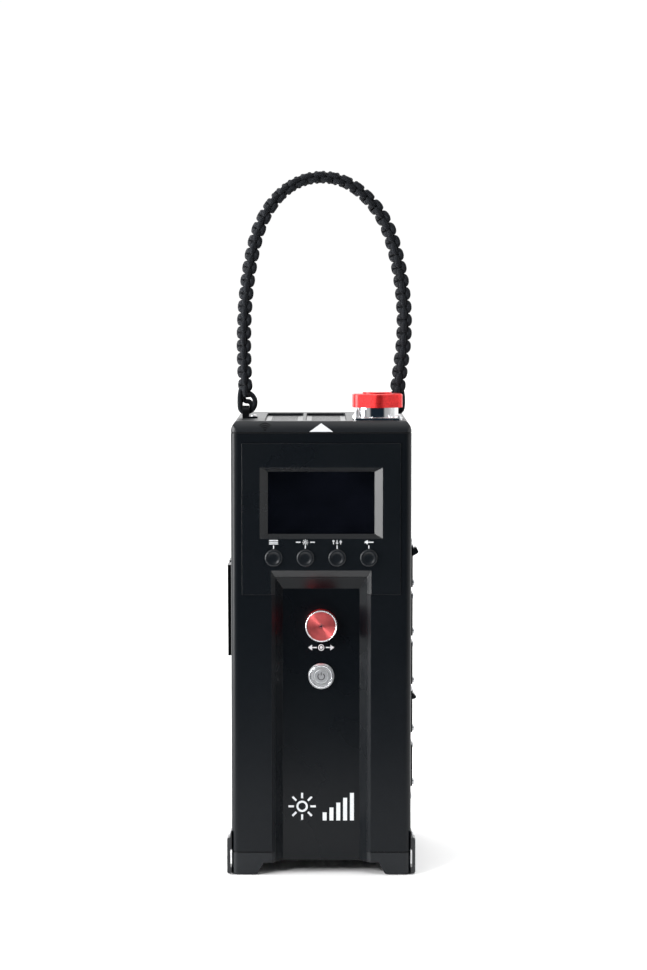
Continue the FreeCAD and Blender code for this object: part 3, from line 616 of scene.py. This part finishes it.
weave = handle()
eye_strands = []
for label, middle_x in (("left", HANDLE_ROUTE[0][0]), ("right", HANDLE_ROUTE[-1][0])):
    front = eye_strand("eye_strand_front_" + label, FRONT_STRAND, middle_x, -1)
    rear = eye_strand("eye_strand_rear_" + label, REAR_STRAND, middle_x, 1)
    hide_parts("handle_loop_" + label)
    eye_strands += [front, rear]


# ---------------------------------------------------------------- knob

KNURL_TEETH = 44
KNURL_SIDES = 8 * KNURL_TEETH
KNURL_PITCH = 0.9 * MM
KNURL_DEPTH = 0.030  # this and the next in shares of the radius
KNURL_FROM = 0.93
FACE_RINGS = 44


def round_box(node):
    """Middle of a round node's rear face, its radius and its depth."""
    low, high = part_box(node)
    centre = Vector(((low.x + high.x) / 2, high.y, (low.z + high.z) / 2))
    return centre, (high.x - low.x) / 2, high.y - low.y


def knob():
    """Knurled red knob with a bright cut ring and a spun face."""
    centre, radius, deep = round_box("select_knob")

    def knurl(angle, at, height):
        """Diamond cuts on the outer wall only, half a tooth further on in every second ring."""
        if at < radius * KNURL_FROM:
            return 1.0
        shift = pi if int(height / KNURL_PITCH) % 2 else 0.0
        return 1.0 - KNURL_DEPTH * (0.5 + 0.5 * cos(angle * KNURL_TEETH + shift))

    grip = radius * 0.968
    wall = [(grip, KNURL_PITCH * (0.6 + k)) for k in range(int(deep / KNURL_PITCH) - 1)]
    body = [(radius * 0.84, 0.0), (radius * 0.90, 0.0), (radius * 0.94, 0.25 * MM)]
    body += wall
    body += [(grip, deep - 1.0 * MM), (radius * 0.90, deep - 0.9 * MM)]
    red = turned("knob_body", body, centre, TO_FRONT, PAINTS["red_anodised"], "knob",
                 KNURL_SIDES, knurl)
    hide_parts("select_knob")
    cut = [
        (radius * 0.90, deep - 1.10 * MM),
        (radius * 0.998, deep - 1.05 * MM),
        (radius * 0.960, deep - 0.25 * MM),
        (radius * 0.925, deep),
        (radius * 0.895, deep - 0.05 * MM),
        (radius * 0.885, deep - 0.55 * MM),
    ]
    turned("knob_bright_cut", cut, centre, TO_FRONT, RIM_METAL, "knob",
           KNURL_SIDES, knurl)
    face = [(radius * 0.885, deep - 1.0 * MM), (radius * 0.885, deep - 0.42 * MM)]
    for k in range(FACE_RINGS):
        share = 1 - k / (FACE_RINGS - 0.9)
        groove = 0.05 * MM if k % 2 else 0.0
        face.append((radius * 0.875 * share, deep - 0.30 * MM - groove - 0.25 * MM * (1 - share)))
    disc = turned("knob_disc", face, centre, TO_FRONT, RED_SPUN, "knob", 128)
    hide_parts("knob_face")


knob()


# ---------------------------------------------------------------- keys


# Rim and dish of a key, in mm: inward from its wall, and down from its highest ring.
KEY_DISH = [
    (0.08, 0.85),
    (0.32, 0.42),
    (0.75, 0.12),
    (1.25, 0.00),
    (1.75, 0.06),
    (2.30, 0.28),
    (2.90, 0.50),
    (3.60, 0.64),
    (4.40, 0.70),
    (5.40, 0.71),
]


def keycap(key):
    """Round key with a soft rim and a shallow dish for the fingertip."""
    centre, radius, deep = round_box(key)
    profile = [(radius - 0.3 * MM, 0.0), (radius, 0.3 * MM), (radius, deep - 1.3 * MM)]
    profile += [(radius - inward * MM, deep - down * MM) for inward, down in KEY_DISH]
    material = PAINTS["key_plastic"]
    cap = turned(key + "_cap", profile, centre, TO_FRONT, material, key)
    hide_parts(key)


for key in KEYS:
    keycap(key)


# ---------------------------------------------------------------- flat marks


def bar(x, z, wide, high):
    x0, x1, z0, z1 = x - wide / 2, x + wide / 2, z - high / 2, z + high / 2
    return ([(x0, z0), (x0, z1)], [(x1, z0), (x1, z1)])


def arc(x, z, inner, outer, start, end, steps=24):
    """A band round (x, z); angles in degrees from the top, to the right."""
    turns = [radians(start + (end - start) * k / steps) for k in range(steps + 1)]
    return ([(x + inner * sin(a), z + inner * cos(a)) for a in turns],
            [(x + outer * sin(a), z + outer * cos(a)) for a in turns])


def between(a, b, share):
    return (a[0] + (b[0] - a[0]) * share, a[1] + (b[1] - a[1]) * share)


def wedge(tip, base_a, base_b, steps=8):
    """A triangle as a strip from its base to its tip."""
    shares = [k / steps for k in range(steps + 1)]
    return ([between(base_a, tip, t) for t in shares], [between(base_b, tip, t) for t in shares])


def sun(x, z, size, thick, rays=8):
    """A lamp's sun sign: a ring with rays out to its size."""
    marks = [arc(x, z, 0.42 * size - thick, 0.42 * size, 0, 360, 40)]
    for k in range(rays):
        a = 2 * pi * k / rays
        dx, dz = cos(a) * thick / 2, -sin(a) * thick / 2
        near = (x + 0.60 * size * sin(a), z + 0.60 * size * cos(a))
        far = (x + size * sin(a), z + size * cos(a))
        marks.append(([(near[0] - dx, near[1] - dz), (far[0] - dx, far[1] - dz)],
                      [(near[0] + dx, near[1] + dz), (far[0] + dx, far[1] + dz)]))
    return marks


def flat_at(y):
    """A flat surface for marks, that faces the front."""
    return lambda z: y


# ---------------------------------------------------------------- power switch

# Closed profiles in mm: out from the radius given with them, and height over the switch's face.
LENS_R = 5.3 * MM
LENS = [(0.15, -0.30), (0.15, 0.22), (0.90, 0.22), (0.95, 0.05), (0.95, -0.30)]
LIP_R = 7.4 * MM
LIP = [(0.00, -0.30), (0.00, 0.12), (0.25, 0.30), (0.90, 0.30), (1.10, 0.05), (1.10, -0.30)]


def power_switch():
    """Lens ring round the button, raised lip and the power symbol on the button."""
    low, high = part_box("power_switch")
    centre = Vector(((low.x + high.x) / 2, low.y, (low.z + high.z) / 2))
    lens = [(LENS_R + out * MM, height * MM) for out, height in LENS]
    ring("switch_lens", lens, centre, RING_LENS, "case", "steel")
    lip = [(LIP_R + out * MM, height * MM) for out, height in LIP]
    ring("switch_lip", lip, centre, RIM_METAL, "case", "steel")
    button_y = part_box("power_button")[0].y
    symbol = [
        arc(centre.x, centre.z, 2.15 * MM, 2.75 * MM, 38, 322, 40),
        bar(centre.x, centre.z + 2.0 * MM, 0.64 * MM, 2.2 * MM),
    ]
    ribbons("power_symbol", symbol, flat_at(button_y - 0.01 * MM), DARK_INK, "power_button")


power_switch()


# ---------------------------------------------------------------- printed marks

INK_GAP = 0.005 * MM
LINE = 0.65 * MM
BADGE_FOOT = 38.5 * MM
BADGE_BARS = 5
SHOULDER_R = 10 * MM
SHOULDER_Z = TOP_Z - 8 * MM  # lower end of the top cap's round shoulder


def key_marks():
    """A tick and a sign over each key: list, light, sliders and back."""
    boxes = [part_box(key) for key in KEYS]
    xs = [(low.x + high.x) / 2 for low, high in boxes]
    top = boxes[0][1].z
    ticks = [bar(x, top + 1.6 * MM, 0.7 * MM, 2.4 * MM) for x in xs]
    z = top + 5.1 * MM
    menu = [bar(xs[0], z + k * 1.25 * MM, 6.5 * MM, LINE) for k in (-1, 0, 1)]
    mode = sun(xs[1], z, 2.1 * MM, 0.42 * MM)
    mode += [bar(xs[1] + side * 5.2 * MM, z, 3.4 * MM, LINE) for side in (-1, 1)]
    preset = []
    for k, height in ((-1, 0.8), (0, -0.7), (1, 0.2)):
        x = xs[2] + k * 2.6 * MM
        preset.append(bar(x, z, 0.5 * MM, 3.2 * MM))
        preset.append(bar(x, z + height * MM, 1.7 * MM, 0.8 * MM))
    x, head = xs[3], xs[3] - 0.8 * MM
    back = [
        wedge((x - 3.4 * MM, z), (head, z + 1.7 * MM), (head, z - 1.7 * MM)),
        bar(x + 1.3 * MM, z, 4.2 * MM, 0.8 * MM),
    ]
    signs = {
        "key_ticks": ticks,
        "menu_mark": menu,
        "mode_mark": mode,
        "preset_mark": preset,
        "back_mark": back,
    }
    for name, marks in signs.items():
        ribbons(name, marks, flat_at(PANEL_Y - INK_GAP), WHITE_INK, "case")


def knob_mark():
    """Turn-and-press sign under the knob."""
    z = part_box("select_knob")[0].z - 5.0 * MM
    marks = [arc(0, z, 0.0, 1.1 * MM, 0, 360, 32), arc(0, z, 1.7 * MM, 2.3 * MM, 0, 360, 40)]
    for side in (-1, 1):
        head = side * 6.6 * MM
        marks.append(wedge((side * 9.5 * MM, z), (head, z + 2.1 * MM), (head, z - 2.1 * MM)))
        marks.append(bar(side * 5.0 * MM, z, 3.4 * MM, 0.8 * MM))
    ribbons("knob_mark", marks, flat_at(CHANNEL_Y - INK_GAP), WHITE_INK, "case")


def badge():
    """Brightness scale low in the channel: a sun and five rising bars."""
    marks = sun(-14 * MM, BADGE_FOOT + 10.5 * MM, 10 * MM, 1.5 * MM)
    for k in range(BADGE_BARS):
        high = (6 + 3.6 * k) * MM
        marks.append(bar((2.5 + 5.0 * k) * MM, BADGE_FOOT + high / 2, 2.9 * MM, high))
    ribbons("brightness_mark", marks, flat_at(CHANNEL_Y - INK_GAP), WHITE_INK, "case")


def shoulder(z):
    """The y of the top cap's front shoulder at a height, for marks just proud of it."""
    rise = min(max(z - SHOULDER_Z, 0.0), 0.999 * SHOULDER_R)
    return FRONT_Y + SHOULDER_R - sqrt(SHOULDER_R**2 - rise**2) - 2 * INK_GAP


def shoulder_marks():
    """White up triangle in the middle, and black wireless arcs at the left."""
    low, tip = TOP_Z - 7.6 * MM, TOP_Z - 1.6 * MM
    up = wedge((0.0, tip), (-8.6 * MM, low), (8.6 * MM, low), 12)
    ribbons("up_mark", [up], shoulder, WHITE_INK, "case", 0.15 * MM)
    x, z = -40.6 * MM, TOP_Z - 6.4 * MM
    waves = [arc(x, z, r * MM, (r + 0.75) * MM, -52, 52, 16) for r in (1.5, 3.0, 4.5)]
    waves.append(arc(x, z, 0.0, 0.7 * MM, 0, 360, 20))
    ribbons("wireless_mark", waves, shoulder, BLACK_INK, "case", 0.12 * MM)


key_marks()
knob_mark()
badge()
shoulder_marks()


# ---------------------------------------------------------------- camera, light and floor

CAMERA_PLACE = (0.001667, -1.9355, 0.4226)
CAMERA_DOWN = 4.21  # degrees below level
LENS_MM, FILM_HIGH_MM = 95.57, 36.0
FLOOR_WIDE, FLOOR_NEAR, FLOOR_FAR = 6.0, -0.44, 12.0
OVERHEAD_STRENGTH = 1.7
OVERHEAD_SPREAD = radians(80)
WHITE_SEEN = 1.02

# The world's light from the camera's side (0) to behind the object (1).
WORLD_STOPS = [
    (0.08, (0.012, 0.020, 0.030, 1)),
    (0.14, (0.45, 0.45, 0.45, 1)),
    (0.55, (0.70, 0.70, 0.70, 1)),
    (0.97, (2.0, 2.0, 2.0, 1)),
]


def camera():
    """Far away with a long lens, in front of the box and a little above its top."""
    data = bpy.data.cameras.new("camera")
    data.sensor_fit = "VERTICAL"
    data.sensor_height = FILM_HIGH_MM
    data.lens = LENS_MM
    made = placed("camera", data, CAMERA_PLACE)
    made.rotation_euler = Euler((radians(90 - CAMERA_DOWN), 0, 0))
    scene.camera = made


def softbox(name, place, aim, wide, high, power):
    data = bpy.data.lights.new(name, "AREA")
    data.shape = "RECTANGLE"
    data.size = wide
    data.size_y = high
    data.energy = power
    made = placed(name, data, place)
    made.rotation_euler = (Vector(aim) - Vector(place)).to_track_quat("-Z", "Y").to_euler()


def overhead():
    """The ceiling's soft light, even over the whole floor."""
    data = bpy.data.lights.new("overhead", "SUN")
    data.energy = OVERHEAD_STRENGTH
    data.angle = OVERHEAD_SPREAD
    placed("overhead", data)


def world():
    """Pale studio: bright behind the object, dim on the camera's side, and white to the camera."""
    made = bpy.data.worlds.new("studio")
    scene.world = made
    made.use_nodes = True
    tree = made.node_tree
    back = tree.nodes["Background"]
    where = tree.nodes.new("ShaderNodeTexCoord")
    split = tree.nodes.new("ShaderNodeSeparateXYZ")
    share = tree.nodes.new("ShaderNodeMapRange")
    share.inputs["From Min"].default_value = -1.0
    ramp = tree.nodes.new("ShaderNodeValToRGB")
    ramp.color_ramp.interpolation = "EASE"
    stops = ramp.color_ramp.elements
    for stop, (place, colour) in zip(stops, (WORLD_STOPS[0], WORLD_STOPS[-1])):
        stop.position = place
        stop.color = colour
    for place, colour in WORLD_STOPS[1:-1]:
        stops.new(place).color = colour
    tree.links.new(where.outputs["Generated"], split.inputs["Vector"])
    tree.links.new(split.outputs["Y"], share.inputs["Value"])
    tree.links.new(share.outputs["Result"], ramp.inputs["Fac"])
    tree.links.new(ramp.outputs["Color"], back.inputs["Color"])
    white = tree.nodes.new("ShaderNodeBackground")
    white.inputs["Color"].default_value = (1, 1, 1, 1)
    white.inputs["Strength"].default_value = WHITE_SEEN
    seen = tree.nodes.new("ShaderNodeLightPath")
    mixed = tree.nodes.new("ShaderNodeMixShader")
    tree.links.new(seen.outputs["Is Camera Ray"], mixed.inputs[0])
    tree.links.new(back.outputs["Background"], mixed.inputs[1])
    tree.links.new(white.outputs["Background"], mixed.inputs[2])
    tree.links.new(mixed.outputs["Shader"], tree.nodes["World Output"].inputs["Surface"])


def floor():
    """Pale floor that starts in front of the box and runs far behind it."""
    corners = [
        (-FLOOR_WIDE, FLOOR_NEAR, 0),
        (FLOOR_WIDE, FLOOR_NEAR, 0),
        (FLOOR_WIDE, FLOOR_FAR, 0),
        (-FLOOR_WIDE, FLOOR_FAR, 0),
    ]
    mesh = bpy.data.meshes.new("floor")
    mesh.from_pydata(corners, [], [(0, 1, 2, 3)])
    paint = Paint("floor", (0.93, 0.93, 0.93), 0.6, specular_ior_level=0.2)
    paint.tint(paint.noise(0.4, 2), (0.92, 0.92, 0.92), (0.94, 0.94, 0.94))
    mesh.materials.append(paint.material)
    placed("floor", mesh)


camera()
world()
floor()
overhead()
softbox("key_left", (-1.60, -0.36, 0.47), (0, 0, 0.25), 0.9, 1.1, 42)
softbox("kicker", (-0.75, -1.10, 0.75), (0, 0, 0.20), 0.3, 0.3, 8)
softbox("fill_right", (1.7, -0.35, 0.85), (0, 0, 0.22), 0.7, 1.2, 6)
scene.view_settings.view_transform = "Standard"
